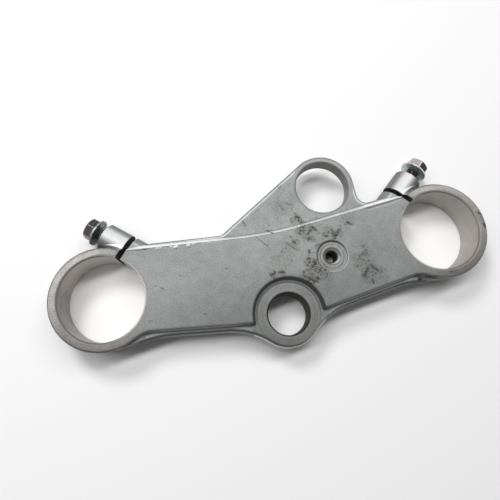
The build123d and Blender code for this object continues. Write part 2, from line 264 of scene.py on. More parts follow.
# %% Casting: turned faces
FEED = 0.8  # mm
flat_face = add(tree, "Math", {0: up, 1: 0.8}, operation="GREATER_THAN")[0]
radius = add(tree, "Math", {0: away["stem"], 1: away["tap"]}, operation="MINIMUM")[0]
feed = add(tree, "Mix", {0: flat_face, 2: z, 3: radius}, data_type="FLOAT")[0]
feed = add(tree, "CombineXYZ", {0: feed})[0]
turning = add(tree, "TexNoise", {"Vector": feed, "Scale": 1 / FEED, "Detail": 2.0})[0]
turning = add(tree, "MapRange", {0: turning, 1: 0.3, 2: 0.7})[0]
lathe = add(tree, "Mix", {0: 0.6, 2: turning, 3: shade}, data_type="FLOAT")[0]
faced = add(tree, "Mix", {0: lathe, 6: linear("#4a4b49"), 7: linear("#828482")}, data_type="RGBA")[2]
# Painted shade: the turned faces darken towards the rear, away from the light.
shade_behind = add(tree, "MapRange", {0: y, 1: 4.0, 2: -18.0, 4: 0.35})[0]
faced = add(tree, "Mix", {0: shade_behind, 6: faced, 7: linear("#3b3c3a")}, data_type="RGBA")[2]
fresh = add(tree, "Math", {0: cut["spot_face"], 1: 0.15}, operation="MULTIPLY")[0]
faced = add(tree, "Mix", {0: fresh, 6: faced, 7: linear("#b4b6b4")}, data_type="RGBA")[2]
print("turning marks:", FEED, "mm apart")

# %% [markdown]
# The fork tubes left a brownish film in their bores. It is painted paler on the walls that face backwards,
# more in the left bore than in the right, and on those that face left: painted light, where the light falls
# on them. The chamfered mouths carry a painted highlight towards the arms and painted shade outboard. The
# switch bore is plain grey, and the stem bore and the tapped hole are painted black, as the shade deep in
# them.

# %% Casting: bores
stain = add(tree, "MapRange", {0: mottle, 1: 0.3, 2: 0.7})[0]
filmed = add(tree, "Mix", {0: stain, 6: linear("#938e89"), 7: linear("#aaa5a0")}, data_type="RGBA")[2]
left_more = add(tree, "MapRange", {0: x, 1: -90.0, 2: 90.0, 3: 0.8, 4: 0.4})[0]
# Painted light on the bore walls that face backwards and on those that face left.
painted_bore_light = add(tree, "MapRange", {0: forward, 1: -0.3, 2: -1.0, 4: left_more})[0]
facing_left = add(tree, "MapRange", {0: sideways, 1: -0.4, 2: -0.9, 4: 0.3})[0]
painted_bore_light = add(tree, "Math", {0: painted_bore_light, 1: facing_left}, operation="MAXIMUM")[0]
filmed = add(tree, "Mix", {0: painted_bore_light, 6: filmed, 7: linear("#dcd8d4")}, data_type="RGBA")[2]
flats = add(tree, "Math", {0: cut["nut_seat"], 1: cut["spot_face"]}, operation="MAXIMUM")[0]
turned = add(tree, "Mix", {0: flats, 6: filmed, 7: faced}, data_type="RGBA")[2]
turned = add(tree, "Mix", {0: cut["switch_bore"], 6: turned, 7: linear("#767775")}, data_type="RGBA")[2]
chamfer = add(tree, "MapRange", {0: up, 1: 0.3, 2: 0.5})[0]
chamfer = add(tree, "Math", {0: chamfer, 1: cut["fork_bores"]}, operation="MULTIPLY")[0]
# Painted highlight on the chamfers towards the arms, and painted shade outboard.
mouth = add(tree, "Mix", {0: outboard, 6: linear("#d2d3d1"), 7: linear("#73706d")}, data_type="RGBA")[2]
turned = add(tree, "Mix", {0: chamfer, 6: turned, 7: mouth}, data_type="RGBA")[2]
# Painted shade: the stem bore and the tapped hole are painted black.
turned = add(tree, "Mix", {0: cut["stem_bore"], 6: turned, 7: linear("#1d1c1a")}, data_type="RGBA")[2]
tapped = add(tree, "Math", {0: away["tap"], 1: 3.9}, operation="LESS_THAN")[0]
turned = add(tree, "Mix", {0: tapped, 6: turned, 7: linear("#171614")}, data_type="RGBA")[2]
colour = add(tree, "Mix", {0: machined, 6: paint, 7: turned}, data_type="RGBA")[2]
print("paint and turned metal:", len(tree.nodes), "nodes so far")

# %% [markdown]
# Years of use left scratches and scuffs. A scratch is a short straight stroke, so its mask is the distance to
# a line segment. A noise makes the width uneven and breaks the line, as a real scratch skips. Along the front
# rims of the arms the same strokes, with a smoother noise, take the paint off in small chips. A few strokes
# stand for light instead: dark lines of painted shade along the front bands and under two chips, and thin
# pale lines of painted highlight along the front rims.

# %% Casting: one stroke
ragged = add(tree, "TexNoise", {"Vector": mm, "Scale": 1 / GRAIN, "Detail": 3.0, "Roughness": 0.7})[0]
ragged = add(tree, "MapRange", {0: ragged, 1: 0.35, 2: 0.65, 3: 0.4, 4: 2.6})[0]
lumpy = add(tree, "MapRange", {0: mottle, 1: 0.3, 2: 0.7, 3: 0.8, 4: 1.3})[0]
flat = add(tree, "VectorMath", {0: mm, 1: (1, 1, 0)}, operation="MULTIPLY")[0]


def stroke(x1, y1, x2, y2, width, strength, uneven):
    """A mask along the straight line between two points in mm, with an uneven width."""
    run = Vector((x2 - x1, y2 - y1, 0))
    unit = run / run.length_squared
    start = add(tree, "VectorMath", {0: flat, 1: (x1, y1, 0)}, operation="SUBTRACT")[0]
    share = add(tree, "VectorMath", {0: start, 1: unit}, operation="DOT_PRODUCT")["Value"]
    share = add(tree, "Clamp", {0: share})[0]
    nearest = add(tree, "VectorMath", {0: run, "Scale": share}, operation="SCALE")[0]
    gap = add(tree, "VectorMath", {0: start, 1: nearest}, operation="DISTANCE")["Value"]
    gap = add(tree, "Math", {0: gap, 1: uneven}, operation="MULTIPLY")[0]
    return add(tree, "MapRange", {0: gap, 1: width * 1.4, 2: width * 0.3, 4: strength})[0]


print("ready for strokes:", len(tree.nodes), "nodes so far")

# %% Casting: scratches, scuffs and chips
strokes = (  # from x, y to x, y, half width in mm, and how dark
    (-9.8, 49.4, -4.3, 42.4, 0.4, 0.65), (-4.4, 42.1, -2.8, 44.5, 0.3, 0.4), (-1.5, 53, 1, 49.4, 0.8, 0.9),
    (0, 57, 1, 55.5, 0.4, 0.5), (-15.4, 62, -13.8, 58, 0.45, 0.75), (7.3, 42.4, 12.7, 36.5, 0.6, 0.55),
    (10.8, 45.5, 11.6, 44.5, 0.6, 0.65), (12, 42, 13, 41, 0.9, 0.8), (20.3, 34.5, 20.3, 33.3, 1.1, 0.9),
    (3.5, 37.2, 4.3, 36.7, 0.6, 0.6), (20, 24.5, 22.5, 26.5, 1.2, 0.85), (48, 47.4, 49.6, 45.8, 0.9, 0.9),
    (46, 34.6, 49.7, 29.6, 0.3, 0.4), (49.8, 24.8, 55.5, 27.8, 0.6, 0.7),
    (53.4, 30.7, 54.2, 30.3, 0.8, 0.8), (49.7, 12.4, 53, 16.5, 1.6, 0.85), (55.5, 18, 58.6, 14, 1.3, 0.8),
    (54.1, 9.5, 54.1, 7.2, 0.9, 0.75), (-23.6, 18.5, -13, 23.8, 0.3, 0.45),
    (-21.9, 17.4, -14.8, 20.5, 0.25, 0.3), (12, 78.5, 13.5, 79.8, 0.6, 0.75),
    (13.7, 69.6, 15.5, 67.5, 0.45, 0.6), (15.5, 67.5, 18.4, 65.8, 0.4, 0.5), (10, 66, 13, 63.2, 0.6, 0.35),
    (8.3, 31.7, 8.3, 30.9, 0.5, 0.6), (22.2, 42.1, 21.7, 41.2, 1.1, 0.9),
    (24.3, 36.2, 30.3, 37.9, 0.35, 0.5), (82, 5.8, 94, 3, 1.1, 0.8), (-82, 5.8, -94, 3, 0.8, 0.5),
    (-77, 55.1, -76, 55.1, 0.7, 0.8), (133.2, 36.8, 134.5, 35.6, 1.2, 0.9),
    (134.6, 29, 134.7, 27, 1.6, 1.0), (134, 35, 134.4, 30, 0.5, 0.45), (-59.3, 35.1, -58.9, 35.1, 0.5, 0.6),
    (-74, 31.8, -73.4, 31.8, 0.5, 0.6), (-71, 30.2, -69.8, 29.4, 0.5, 0.5),
    (-48.6, 10, -48.2, 9.6, 0.6, 0.8), (-31.3, 33.6, -30.9, 33.6, 0.5, 0.6),
    (-80.5, 12.7, -79, 12.7, 0.9, 0.35), (85.3, 49.4, 85.7, 49.2, 0.7, 0.7),
    (64.5, 53.2, 65.1, 53, 0.5, 0.5), (103.4, 3.8, 104, 3.6, 0.9, 0.95), (73.5, 25.5, 74.1, 24, 0.5, 0.3),
    (78.3, 30, 78.7, 28.6, 0.4, 0.3), (22.4, 45.5, 22.2, 44.5, 0.9, 0.8), (16.5, 50.2, 20.5, 49, 0.5, 0.7),
    (24, 49, 27.5, 47.3, 0.6, 0.7), (36.5, 45, 39, 42.5, 0.5, 0.75), (39.6, 41.2, 38, 38.6, 0.8, 0.8),
    (32.6, 41.8, 33.6, 41, 0.6, 0.7), (-6, 24, -3, 25.4, 0.8, 0.85), (-0.5, 25, 2.5, 24.4, 0.9, 0.9),
    (15.4, 18.6, 19, 15.6, 1.1, 0.9), (20.8, 14.7, 18.5, 16.2, 0.6, 0.85), (18, 57.5, 21.5, 55.5, 0.4, 0.6),
    # Painted shade among these: the dark line from -82, 55.3 along the front band of the left arm, the
    # shadows under two chips from -59.6 and -51.2, and the dark lines from 62.3 and 76.6 along the right
    # arm's band.
    (19, 54.5, 23.5, 53.5, 0.4, 0.6), (-82, 55.3, -75.5, 54.7, 0.4, 0.6),
    (-59.6, 51.5, -57.4, 51.6, 0.4, 0.6), (-51.2, 50.9, -49.4, 50.7, 0.4, 0.6),
    (62.3, 53.6, 76.6, 54.8, 0.4, 0.65), (76.6, 54.8, 87.9, 56.2, 0.4, 0.65), (86, 4, 93, 3.1, 1.2, 0.6),
)
chips = (  # the same for bare metal, and how bright
    (-70, 54.4, -66.5, 54.2, 0.4, 0.4), (-61.2, 53.8, -60.4, 53.5, 0.5, 0.5),
    (-59, 53, -57.2, 53.4, 0.7, 0.6), (-51.4, 52.6, -50, 52.7, 0.6, 0.55),
    # The long thin lines from -42.5, 63.3 and 78.3 are painted highlights along the front rims, not chips.
    (-48, 52.6, -46.8, 52.9, 0.5, 0.5), (-42.5, 51.9, -30, 50.8, 0.2, 0.3),
    (63.3, 52.4, 78.3, 53.5, 0.3, 0.2), (78.3, 53.5, 86.2, 55, 0.3, 0.2),
)
scratch, bare = 0.0, 0.0
for values in strokes:
    scratch = add(tree, "Math", {0: scratch, 1: stroke(*values, ragged)}, operation="MAXIMUM")[0]
for values in chips:
    bare = add(tree, "Math", {0: bare, 1: stroke(*values, lumpy)}, operation="MAXIMUM")[0]
print("scratches:", len(strokes), "chips:", len(chips))

# %% [markdown]
# Grease has dried on in brown and black flecks round the accessory hole and along the scallop round the stem.
# Each cloud is a soft disc, pushed out of shape by a noise. It raises two finer noises over a threshold: one
# gives flecks that crowd in its middle, and the thin lines where the other crosses its own middle value give
# the curled rims of dried drops. A film of grey lies under both.

# %% Casting: clouds of grease
clouds = (  # x, y, radius in mm and strength
    (18, 57, 6, 0.9), (21, 54, 6, 1.0), (20, 48, 7, 0.95), (25.5, 47, 6, 0.95), (22, 43, 7, 0.7),
    (33, 42.5, 6, 0.8), (39, 42, 7, 1.0), (48.5, 47, 5, 0.8), (47, 50, 7, 0.55), (20.5, 26, 8, 1.0),
    (20, 21.5, 6, 0.75), (52, 22, 10, 0.6), (53.5, 14, 9, 0.65), (60, 11, 7, 0.5), (11, 40, 9, 0.6),
    (11, 65, 9, 0.4), (-4, 24.5, 4.5, 0.95), (1, 25, 4, 0.9), (13, 20.5, 5.5, 0.8), (18, 16.5, 6, 1.0),
    (27, 36, 6, 0.6), (2, 33, 16, 0.3), (24, 20, 9, 0.8),
)
drift = add(tree, "TexNoise", {"Vector": mm, "Scale": 1 / 5, "Detail": 2.0})[1]
drift = add(tree, "VectorMath", {0: drift, 1: (0.5, 0.5, 0.5)}, operation="SUBTRACT")[0]
drift = add(tree, "VectorMath", {0: drift, "Scale": 14.0}, operation="SCALE")[0]
drift = add(tree, "VectorMath", {0: drift, 1: flat}, operation="ADD")[0]
drift = add(tree, "VectorMath", {0: drift, 1: (1, 1, 0)}, operation="MULTIPLY")[0]
smudge = 0.0
for x1, y1, reach, strength in clouds:
    gap = add(tree, "VectorMath", {0: drift, 1: (x1, y1, 0)}, operation="DISTANCE")["Value"]
    fade = {0: gap, 1: reach, 2: reach * 0.2, 4: strength}
    cloud = add(tree, "MapRange", fade, interpolation_type="SMOOTHSTEP")[0]
    smudge = add(tree, "Math", {0: smudge, 1: cloud}, operation="MAXIMUM")[0]
print("grease clouds:", len(clouds))

# %% Casting: flecks, dried rims and haze
FLECK, CRUST = 1.7, 3.2  # mm
fleck = add(tree, "TexNoise", {"Vector": mm, "Scale": 1 / FLECK, "Detail": 4.0, "Roughness": 0.8})[0]
fleck = add(tree, "Math", {0: smudge, 1: 0.2, 2: fleck}, operation="MULTIPLY_ADD")[0]
fleck = add(tree, "MapRange", {0: fleck, 1: 0.69, 2: 0.74, 4: 0.95})[0]
crust = add(tree, "TexNoise", {"Vector": mm, "Scale": 1 / CRUST, "Detail": 2.0})[0]
crust = add(tree, "Math", {0: crust, 1: 0.5}, operation="SUBTRACT")[0]
crust = add(tree, "Math", {0: crust}, operation="ABSOLUTE")[0]
crust = add(tree, "MapRange", {0: crust, 1: 0.04, 2: 0.015})[0]
crust = add(tree, "Math", {0: crust, 1: smudge}, operation="MULTIPLY")[0]
crust = add(tree, "Math", {0: crust, 1: 0.7}, operation="MULTIPLY")[0]
fleck = add(tree, "Math", {0: fleck, 1: crust}, operation="MAXIMUM")[0]
on_top = add(tree, "Math", {0: z, 1: LEDGE - 0.8}, operation="GREATER_THAN")[0]
dirt_and_shade = add(tree, "Math", {0: scratch, 1: fleck}, operation="MAXIMUM")[0]
dirt_and_shade = add(tree, "Math", {0: dirt_and_shade, 1: on_top}, operation="MULTIPLY")[0]
haze = add(tree, "Math", {0: smudge, 1: 0.4}, operation="MULTIPLY")[0]
haze = add(tree, "Math", {0: haze, 1: on_top}, operation="MULTIPLY")[0]
colour = add(tree, "Mix", {0: haze, 6: colour, 7: linear("#4d4945")}, data_type="RGBA")[2]
print("flecks in mm:", FLECK, "dried rims:", CRUST)

# %% [markdown]
# The rear step and the scallop round the stem are painted dark: painted shade, with some dirt. Their walls
# face backwards or inwards, towards the stem, away from the light, so one mask takes every steep wall between
# the two tiers that is not on the front. It draws a dark line at the rim and one at the foot of the rear
# wall, and covers the scallop whole, in uneven patches. Ambient occlusion adds painted shade in the inner
# corners.

# %% Casting: painted shade and dirt on the step walls
# Painted shade with some dirt on the steep walls that face away from the light.
steep = add(tree, "MapRange", {0: up, 1: 0.97, 2: 0.6})[0]
above = add(tree, "Math", {0: z, 1: LEDGE - 0.1}, operation="GREATER_THAN")[0]
not_front = add(tree, "MapRange", {0: y, 1: 33.0, 2: 27.0})[0]
beside = add(tree, "MapRange", {0: away["fork"], 1: 31.5, 2: 33.0})[0]
foot = add(tree, "MapRange", {0: z, 1: LEDGE + 1.4, 2: LEDGE + 0.3, 4: 0.85})[0]
brow = add(tree, "MapRange", {0: z, 1: PLATEAU - 1.0, 2: PLATEAU - 0.4, 4: 0.55})[0]
lines = add(tree, "Math", {0: foot, 1: brow}, operation="MAXIMUM")[0]
scallop = add(tree, "MapRange", {0: away["stem"], 1: 24.5, 2: 23.0})[0]
caked = add(tree, "MapRange", {0: mottle, 1: 0.35, 2: 0.6, 3: 0.4, 4: 0.8})[0]
settled = add(tree, "MapRange", {0: z, 1: LEDGE + 0.2, 2: LEDGE + 1.4, 3: 0.4})[0]
for mask in (caked, settled):
    scallop = add(tree, "Math", {0: scallop, 1: mask}, operation="MULTIPLY")[0]
lines = add(tree, "Math", {0: lines, 1: scallop}, operation="MAXIMUM")[0]
wall = add(tree, "Math", {0: steep, 1: above}, operation="MULTIPLY")[0]
for mask in (not_front, beside, lines):
    wall = add(tree, "Math", {0: wall, 1: mask}, operation="MULTIPLY")[0]
# Painted shade: ambient occlusion darkens the inner corners.
air = add(tree, "AmbientOcclusion", {"Distance": 1.5 * MM}, samples=8)["AO"]
painted_corner_shade = add(tree, "MapRange", {0: air, 1: 0.85, 2: 0.5, 4: 0.7})[0]
off_spot = add(tree, "Math", {0: away["tap"], 1: 10.5}, operation="GREATER_THAN")[0]
for mask in (not_front, on_top, beside, off_spot):
    painted_corner_shade = add(tree, "Math", {0: painted_corner_shade, 1: mask}, operation="MULTIPLY")[0]
wall = add(tree, "Math", {0: wall, 1: painted_corner_shade}, operation="MAXIMUM")[0]
print("step walls:", len(tree.nodes), "nodes so far")

# %% [markdown]
# The outer rim of the fork rings is painted dark: painted shade where the rounded rim turns away from the
# light. On the spot face three dark rings are drawn: the rim, on the side away from the viewer, painted shade
# where the wall of the recess is in shade, the mark where the tool stopped, and the mouth of the tapped hole.

# %% Casting: painted shade on the ring rims and dark rings on the spot face
# Painted shade on the outer rim of the fork rings.
ring_rim_shade = add(tree, "MapRange", {0: up, 1: 0.97, 2: 0.7, 4: 0.75})[0]
high = add(tree, "Math", {0: z, 1: PLATEAU - 1.0}, operation="GREATER_THAN")[0]
outer = add(tree, "Math", {0: away["fork"], 1: 29.0}, operation="GREATER_THAN")[0]
for mask in (high, near_ring, outer):
    ring_rim_shade = add(tree, "Math", {0: ring_rim_shade, 1: mask}, operation="MULTIPLY")[0]
from_spot = add(tree, "VectorMath", {0: mm, 1: axes["tap"]}, operation="SUBTRACT")[0]
near_side = add(tree, "VectorMath", {0: from_spot, 1: (0.06, -0.08, 0)}, operation="DOT_PRODUCT")["Value"]
rings = {}
for name, middle, half in (("rim", 9.5, 0.55), ("tool_mark", 7.4, 0.35), ("mouth", 5.4, 0.4)):
    gap = add(tree, "Math", {0: away["tap"], 1: middle}, operation="SUBTRACT")[0]
    gap = add(tree, "Math", {0: gap}, operation="ABSOLUTE")[0]
    rings[name] = add(tree, "MapRange", {0: gap, 1: half, 2: half * 0.4, 4: 0.6})[0]
# Painted shade on the far side of the spot face's rim.
far_side = add(tree, "MapRange", {0: near_side, 1: 0.1, 2: -0.5})[0]
far_rim_shade = add(tree, "Math", {0: rings["rim"], 1: far_side}, operation="MULTIPLY")[0]
print("rings on the spot face:", ", ".join(rings))

# %% [markdown]
# The rear wall of the lower tier is painted darkest of all, down to the parting line, where the two halves of
# the mould met: painted shade, as it faces away from the light. The lip that they left there is painted pale
# on top, painted light where the wall above shades it, so a thin light line runs along the dark wall.

# %% Casting: painted shade on the rear wall, painted light on the parting lip, and all dirt and shade together
PARTING = 7.0  # height in mm of the top of the lip
# Painted shade on the rear wall of the lower tier.
rear_wall_shade = add(tree, "MapRange", {0: forward, 1: -0.5, 2: -0.8, 4: 0.95})[0]
under = add(tree, "MapRange", {0: z, 1: LEDGE - 0.2, 2: LEDGE - 0.8})[0]
over = add(tree, "MapRange", {0: z, 1: PARTING, 2: PARTING + 0.6})[0]
for mask in (not_front, beside, under, over):
    rear_wall_shade = add(tree, "Math", {0: rear_wall_shade, 1: mask}, operation="MULTIPLY")[0]
for mask in (ring_rim_shade, slit_shade, far_rim_shade, rear_wall_shade, rings["tool_mark"], rings["mouth"]):
    wall = add(tree, "Math", {0: wall, 1: mask}, operation="MAXIMUM")[0]
# Dirt and painted shade together in one dark mask.
dirt_and_shade = add(tree, "Math", {0: dirt_and_shade, 1: wall}, operation="MAXIMUM")[0]
# Painted light on top of the parting lip.
lit_lip = add(tree, "MapRange", {0: z, 1: PARTING + 1.0, 2: PARTING + 0.4})[0]
open_side = add(tree, "MapRange", {0: up, 1: 0.5, 2: 0.9})[0]
for mask in (open_side, not_front):
    lit_lip = add(tree, "Math", {0: lit_lip, 1: mask}, operation="MULTIPLY")[0]
colour = add(tree, "Mix", {0: lit_lip, 6: colour, 7: linear("#e6e7e6")}, data_type="RGBA")[2]
colour = add(tree, "Mix", {0: dirt_and_shade, 6: colour, 7: linear("#211f1d")}, data_type="RGBA")[2]
print("all dirt:", len(tree.nodes), "nodes so far")

# %% [markdown]
# A cast edge is never sharp. The Bevel node rounds the shading over 1.5 mm, which is what makes an edge catch
# a line of light. Ambient occlusion that looks inwards finds the same edges: close to one, rays into the
# metal soon come out again. A pale band is painted there, on the lower tier a little and on the fronts of
# both
# arms a lot: worn paint, and a painted highlight where the edge catches the light. The machined rims round
# the holes are left out.

# %% Casting: worn edges with painted highlights
rounded = add(tree, "Bevel", {"Radius": 1.5 * MM}, samples=8)[0]
thin = add(tree, "AmbientOcclusion", {"Distance": 2.6 * MM}, samples=12, inside=True)["AO"]
# Painted highlight, with some wear: a pale band along the convex edges.
edge = add(tree, "MapRange", {0: thin, 1: 0.95, 2: 0.84})[0]
for name, reach in (("fork", 31.0), ("stem", 24.0), ("tap", 12.0), ("switch", 20.0)):
    off_rim = add(tree, "Math", {0: away[name], 1: reach}, operation="GREATER_THAN")[0]
    edge = add(tree, "Math", {0: edge, 1: off_rim}, operation="MULTIPLY")[0]
from_middle = add(tree, "Math", {0: x, 1: 18.0}, operation="SUBTRACT")[0]
from_middle = add(tree, "Math", {0: from_middle}, operation="ABSOLUTE")[0]
front_arm_highlight = add(tree, "MapRange", {0: from_middle, 1: 40.0, 2: 55.0, 4: 0.85})[0]
in_front = add(tree, "MapRange", {0: y, 1: 44.0, 2: 48.0})[0]
below_rim = add(tree, "Math", {0: z, 1: PLATEAU - 0.4}, operation="LESS_THAN")[0]
for mask in (in_front, below_rim):
    front_arm_highlight = add(tree, "Math", {0: front_arm_highlight, 1: mask}, operation="MULTIPLY")[0]
edge_wear_and_light = add(tree, "MapRange", {0: y, 1: 20.0, 2: 44.0, 3: 0.14, 4: 0.34})[0]
lower_tier = add(tree, "Math", {0: z, 1: LEDGE + 0.6}, operation="LESS_THAN")[0]
edge_wear_and_light = add(tree, "Math", {0: edge_wear_and_light, 1: lower_tier}, operation="MULTIPLY")[0]
edge_wear_and_light = add(tree, "Math", {0: edge_wear_and_light, 1: front_arm_highlight}, operation="MAXIMUM")[0]
off_boss = add(tree, "Math", {0: 1.0, 1: boss}, operation="SUBTRACT")[0]
for mask in (off_boss, edge_wear_and_light):
    edge = add(tree, "Math", {0: edge, 1: mask}, operation="MULTIPLY")[0]
print("worn edges:", len(tree.nodes), "nodes so far")

# %% [markdown]
# The sloping step at the front faces the light and is painted almost white: a painted reflection of the light
# ahead, so it is the whitest line on the yoke, with a few duller patches. The near side of the spot face's
# rim carries a painted glint, and so does a facet in the mouth of the tapped hole. Dirt and painted shade
# cover bare metal and painted highlights, and machined faces are bare already, so both are taken away. The
# very edge of the casting is painted dark, a painted reflection of the rounded edge turned away from the
# light, and one blowhole was left open in the rear wall.

# %% Casting: bare metal, painted highlights and reflections, and the blowhole
# Painted reflection: the sloping front step is painted almost white.
step = add(tree, "MapRange", {0: z, 1: LEDGE + 0.1, 2: LEDGE + 0.7})[0]
ahead = add(tree, "MapRange", {0: forward, 1: 0.25, 2: 0.5})[0]
off_ring = add(tree, "MapRange", {0: away["fork"], 1: 30.3, 2: 31.3})[0]
patchy = add(tree, "MapRange", {0: mottle, 1: 0.36, 2: 0.52, 3: 0.9})[0]
for mask in (ahead, off_ring, patchy):
    step = add(tree, "Math", {0: step, 1: mask}, operation="MULTIPLY")[0]
# Painted glints on the near side of the spot face's rim and on a facet in the mouth of the tapped hole.
glint = add(tree, "MapRange", {0: near_side, 1: 0.2, 2: 0.7, 4: 0.8})[0]
glint = add(tree, "Math", {0: glint, 1: rings["rim"]}, operation="MULTIPLY")[0]
facet = add(tree, "MapRange", {0: near_side, 1: 0.25, 2: 0.45, 4: 0.5})[0]
hole_mouth = add(tree, "Math", {0: away["tap"], 1: 5.2}, operation="LESS_THAN")[0]
facet = add(tree, "Math", {0: facet, 1: hole_mouth}, operation="MULTIPLY")[0]
facet = add(tree, "Math", {0: facet, 1: tapped}, operation="SUBTRACT", use_clamp=True)[0]
wear_and_highlights = edge
for mask in (step, bare, glint):
    wear_and_highlights = add(tree, "Math", {0: wear_and_highlights, 1: mask}, operation="MAXIMUM")[0]
free_of_dirt_and_shade = add(tree, "Math", {0: 1.0, 1: dirt_and_shade}, operation="SUBTRACT")[0]
wear_and_highlights = add(tree, "Math", {0: wear_and_highlights, 1: free_of_dirt_and_shade}, operation="MULTIPLY")[0]
wear_and_highlights = add(tree, "Math", {0: wear_and_highlights, 1: machined}, operation="SUBTRACT", use_clamp=True)[0]
wear_and_highlights = add(tree, "Math", {0: wear_and_highlights, 1: facet}, operation="MAXIMUM")[0]
shine = add(tree, "Mix", {0: shade, 6: linear("#c3c5c4"), 7: linear("#eeefef")}, data_type="RGBA")[2]
# The front step takes the whitest colour, as its painted reflection.
shine = add(tree, "Mix", {0: step, 6: shine, 7: linear("#f6f7f6")}, data_type="RGBA")[2]
colour = add(tree, "Mix", {0: wear_and_highlights, 6: colour, 7: shine}, data_type="RGBA")[2]
# Painted reflection: the very edge is painted dark, as the rounded edge turns away from the light.
dark_edge_reflection = add(tree, "MapRange", {0: thin, 1: 0.67, 2: 0.61, 4: 4.0})[0]
dark_edge_reflection = add(tree, "Math", {0: dark_edge_reflection, 1: edge}, operation="MULTIPLY", use_clamp=True)[0]
colour = add(tree, "Mix", {0: dark_edge_reflection, 6: colour, 7: linear("#454645")}, data_type="RGBA")[2]
blowhole = add(tree, "VectorMath", {0: mm, 1: (84.8, 3.3, 13.4)}, operation="DISTANCE")["Value"]
blowhole = add(tree, "MapRange", {0: blowhole, 1: 1.8, 2: 1.3})[0]
colour = add(tree, "Mix", {0: blowhole, 6: colour, 7: linear("#0c0b0a")}, data_type="RGBA")[2]
print("bare metal and bruises:", len(tree.nodes), "nodes so far")

# %% [markdown]
# Silver paint is metal flake in clear resin, so it is part metallic and not quite smooth. Skimmed and worn
# places and painted highlights are more metallic, the bores and the bosses a little rougher, and dirt and
# painted shade are dull and no metal at all.
# The bump takes only the grain and the turning marks: its height is worked out three times for every ray,
# so it has to stay simple.

# %% Casting: shader
relief = add(tree, "Mix", {0: machined, 2: grain, 3: turning}, data_type="FLOAT")[0]
bump = add(tree, "Bump", {"Strength": 0.25, "Distance": 0.1 * MM, "Height": relief, "Normal": rounded})[0]
black = add(tree, "Math", {0: cut["stem_bore"], 1: tapped}, operation="MAXIMUM")[0]
black = add(tree, "Math", {0: black, 1: blowhole}, operation="MAXIMUM")[0]
satin = add(tree, "Math", {0: boss, 1: cut["fork_bores"]}, operation="MAXIMUM")[0]
rough = add(tree, "MapRange", {0: near_ring, 3: 0.36, 4: 0.29})[0]
for mask, more in ((grain, 0.08), (satin, 0.15), (dirt_and_shade, 0.3), (black, 0.3)):
    rough = add(tree, "Math", {0: mask, 1: more, 2: rough}, operation="MULTIPLY_ADD")[0]
metal = add(tree, "MapRange", {0: near_ring, 3: 0.3, 4: 0.45})[0]
metal = add(tree, "Math", {0: wear_and_highlights, 1: 0.3, 2: metal}, operation="MULTIPLY_ADD")[0]
not_black = add(tree, "Math", {0: 1.0, 1: black}, operation="SUBTRACT")[0]
for mask in (free_of_dirt_and_shade, not_black):
    metal = add(tree, "Math", {0: metal, 1: mask}, operation="MULTIPLY")[0]
skin = {"Base Color": colour, "Roughness": rough, "Metallic": metal, "Normal": bump}
skin = add(tree, "BsdfPrincipled", skin)
add(tree, "OutputMaterial", {"Surface": skin[0]})
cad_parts["clamp_body"].data.materials.clear()
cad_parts["clamp_body"].data.materials.append(casting)
print("casting material:", len(tree.nodes), "nodes")

# %% [markdown]
# The bolts are steel, zinc plated and clear passivated, which leaves a pale grey with a trace of green or
# blue. The right flange is lighter and the left one darker. Both have spots of 2.5 mm where the plating has
# gone cloudy.

# %% Bolt steel: plated flanges
zinc, tree = new_material("zinc_plated_steel")
place = add(tree, "TexCoord")
mm = add(tree, "VectorMath", {0: place["Object"], "Scale": 1 / MM}, operation="SCALE")[0]
x = add(tree, "SeparateXYZ", {0: mm})[0]
right = add(tree, "Math", {0: x, 1: 0.0}, operation="GREATER_THAN")[0]
spots = add(tree, "TexNoise", {"Vector": mm, "Scale": 1 / 2.5, "Detail": 3.0})[0]
spots = add(tree, "MapRange", {0: spots, 1: 0.35, 2: 0.65})[0]
plated = add(tree, "Mix", {0: spots, 6: linear("#a3adaa"), 7: linear("#d0d8d6")}, data_type="RGBA")[2]
# The left bolt is given a darker grey.
darker_left = add(tree, "Mix", {0: spots, 6: linear("#4a5553"), 7: linear("#a3adab")}, data_type="RGBA")[2]
steel = add(tree, "Mix", {0: right, 6: darker_left, 7: plated}, data_type="RGBA")[2]
dull = add(tree, "MapRange", {0: spots, 3: 0.42, 4: 0.3})[0]
skin = add(tree, "BsdfPrincipled", {"Base Color": steel, "Roughness": dull, "Metallic": 0.75})
add(tree, "OutputMaterial", {"Surface": skin[0]})
print("plated flanges:", len(tree.nodes), "nodes")

# %% [markdown]
# Spanners have rubbed the plating off the hexagons. The whole left hexagon, and on the right one the flats
# that face backwards, are painted dark: painted shade and dark reflections. The right hexagon is painted
# lighter, a painted reflection of the light. The corners between the flats carry painted glints: they are
# where the normal that the Bevel node rounds off no longer agrees with the flat.

# %% Bolt steel: rubbed hexagons with painted shade and glints
rubbed, tree = new_material("rubbed_steel_with_painted_shade")
place = add(tree, "TexCoord")
mm = add(tree, "VectorMath", {0: place["Object"], "Scale": 1 / MM}, operation="SCALE")[0]
x = add(tree, "SeparateXYZ", {0: mm})[0]
right = add(tree, "Math", {0: x, 1: 0.0}, operation="GREATER_THAN")[0]
forward = add(tree, "SeparateXYZ", {0: place["Normal"]})[1]
spots = add(tree, "TexNoise", {"Vector": mm, "Scale": 1 / 1.6, "Detail": 3.0})[0]
spots = add(tree, "MapRange", {0: spots, 1: 0.35, 2: 0.65})[0]
# Painted dark reflection on the left hexagon, painted light reflection on the right one.
darker_left = add(tree, "Mix", {0: spots, 6: linear("#333534"), 7: linear("#4a4b4a")}, data_type="RGBA")[2]
lit_right = add(tree, "Mix", {0: spots, 6: linear("#a39c9b"), 7: linear("#b8b1b0")}, data_type="RGBA")[2]
steel = add(tree, "Mix", {0: right, 6: darker_left, 7: lit_right}, data_type="RGBA")[2]
